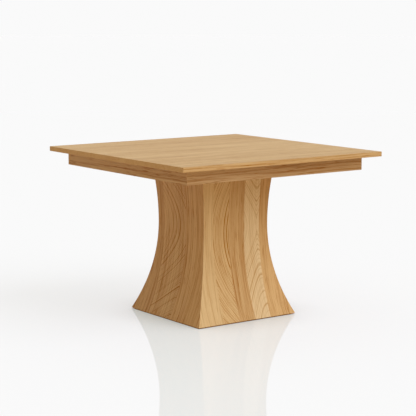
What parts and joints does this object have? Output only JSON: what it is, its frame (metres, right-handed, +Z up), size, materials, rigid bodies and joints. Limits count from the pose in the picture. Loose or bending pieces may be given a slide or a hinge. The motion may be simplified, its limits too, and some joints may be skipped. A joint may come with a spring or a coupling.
{
  "type": "pedestal dining table",
  "caption": "Square oak dining table: a board top on a mitred apron, carried by a waisted square pedestal of curved upright staves on screw-in levelling feet.",
  "frame": {"origin": "on the floor, under the middle of the top", "axes": "+Z up, -Y to the front, +X along the boards of the top"},
  "size_m": [1.1, 1.1, 0.765],
  "materials": {
    "top_oak": "oiled, satin",
    "apron_oak": "oiled, satin",
    "pedestal_oak": "oiled, satin",
    "inner_timber": "planed, bare",
    "base_plywood": "sanded, bare",
    "zinc_steel": "zinc plated",
    "insert_brass": "turned",
    "foot_nylon": "moulded, fine texture"
  },
  "bodies": {
    "table": {"apron_corner_blocks": "inner_timber", "apron_front": "apron_oak", "apron_left": "apron_oak", "apron_rear": "apron_oak", "apron_right": "apron_oak", "base_plate": "base_plywood", "bearer_inserts": "insert_brass", "bearer_left": "inner_timber", "bearer_right": "inner_timber", "bearer_screws": "zinc_steel", "clip_screws": "zinc_steel", "corner_post_front_left": "inner_timber", "corner_post_front_right": "inner_timber", "corner_post_rear_left": "inner_timber", "corner_post_rear_right": "inner_timber", "leveller_nuts": "zinc_steel", "mount_bolts": "zinc_steel", "mount_plate": "inner_timber", "mount_washers": "zinc_steel", "post_screws": "zinc_steel", "stave_front_1": "pedestal_oak", "stave_front_2": "pedestal_oak", "stave_front_3": "pedestal_oak", "stave_front_4": "pedestal_oak", "stave_front_5": "pedestal_oak", "stave_left_1": "pedestal_oak", "stave_left_2": "pedestal_oak", "stave_left_3": "pedestal_oak", "stave_left_4": "pedestal_oak", "stave_left_5": "pedestal_oak", "stave_rear_1": "pedestal_oak", "stave_rear_2": "pedestal_oak", "stave_rear_3": "pedestal_oak", "stave_rear_4": "pedestal_oak", "stave_rear_5": "pedestal_oak", "stave_right_1": "pedestal_oak", "stave_right_2": "pedestal_oak", "stave_right_3": "pedestal_oak", "stave_right_4": "pedestal_oak", "stave_right_5": "pedestal_oak", "top_board_1": "top_oak", "top_board_2": "top_oak", "top_board_3": "top_oak", "top_board_4": "top_oak", "top_board_5": "top_oak", "top_board_6": "top_oak", "top_board_7": "top_oak", "top_clips": "zinc_steel", "top_splines": "base_plywood", "waist_former": "base_plywood"},
    "foot_front_left": {"leveller_pad_front_left": "foot_nylon"},
    "stem_front_left": {"leveller_stem_front_left": "zinc_steel"},
    "foot_front_right": {"leveller_pad_front_right": "foot_nylon"},
    "stem_front_right": {"leveller_stem_front_right": "zinc_steel"},
    "foot_rear_left": {"leveller_pad_rear_left": "foot_nylon"},
    "stem_rear_left": {"leveller_stem_rear_left": "zinc_steel"},
    "foot_rear_right": {"leveller_pad_rear_right": "foot_nylon"},
    "stem_rear_right": {"leveller_stem_rear_right": "zinc_steel"}
  },
  "joints": [
    {"name": "foot_front_left_slide", "type": "slide", "parent": "table", "child": "foot_front_left", "axis": [0, 0, 1], "range_m": [-0.012, 0]},
    {"name": "stem_front_left_turn", "type": "hinge", "parent": "foot_front_left", "child": "stem_front_left", "pos_m": [-0.19, -0.19, 0.02], "axis": [0, 0, 1], "range_deg": [-3456, 0]},
    {"name": "foot_front_right_slide", "type": "slide", "parent": "table", "child": "foot_front_right", "axis": [0, 0, 1], "range_m": [-0.012, 0]},
    {"name": "stem_front_right_turn", "type": "hinge", "parent": "foot_front_right", "child": "stem_front_right", "pos_m": [0.19, -0.19, 0.02], "axis": [0, 0, 1], "range_deg": [-3456, 0]},
    {"name": "foot_rear_left_slide", "type": "slide", "parent": "table", "child": "foot_rear_left", "axis": [0, 0, 1], "range_m": [-0.012, 0]},
    {"name": "stem_rear_left_turn", "type": "hinge", "parent": "foot_rear_left", "child": "stem_rear_left", "pos_m": [-0.19, 0.19, 0.02], "axis": [0, 0, 1], "range_deg": [-3456, 0]},
    {"name": "foot_rear_right_slide", "type": "slide", "parent": "table", "child": "foot_rear_right", "axis": [0, 0, 1], "range_m": [-0.012, 0]},
    {"name": "stem_rear_right_turn", "type": "hinge", "parent": "foot_rear_right", "child": "stem_rear_right", "pos_m": [0.19, 0.19, 0.02], "axis": [0, 0, 1], "range_deg": [-3456, 0]}
  ],
  "couplings": [
    {"joint": "stem_front_left_turn", "follows": "foot_front_left_slide", "rad_per_m": 5026.5},
    {"joint": "stem_front_right_turn", "follows": "foot_front_right_slide", "rad_per_m": 5026.5},
    {"joint": "stem_rear_left_turn", "follows": "foot_rear_left_slide", "rad_per_m": 5026.5},
    {"joint": "stem_rear_right_turn", "follows": "foot_rear_right_slide", "rad_per_m": 5026.5}
  ]
}
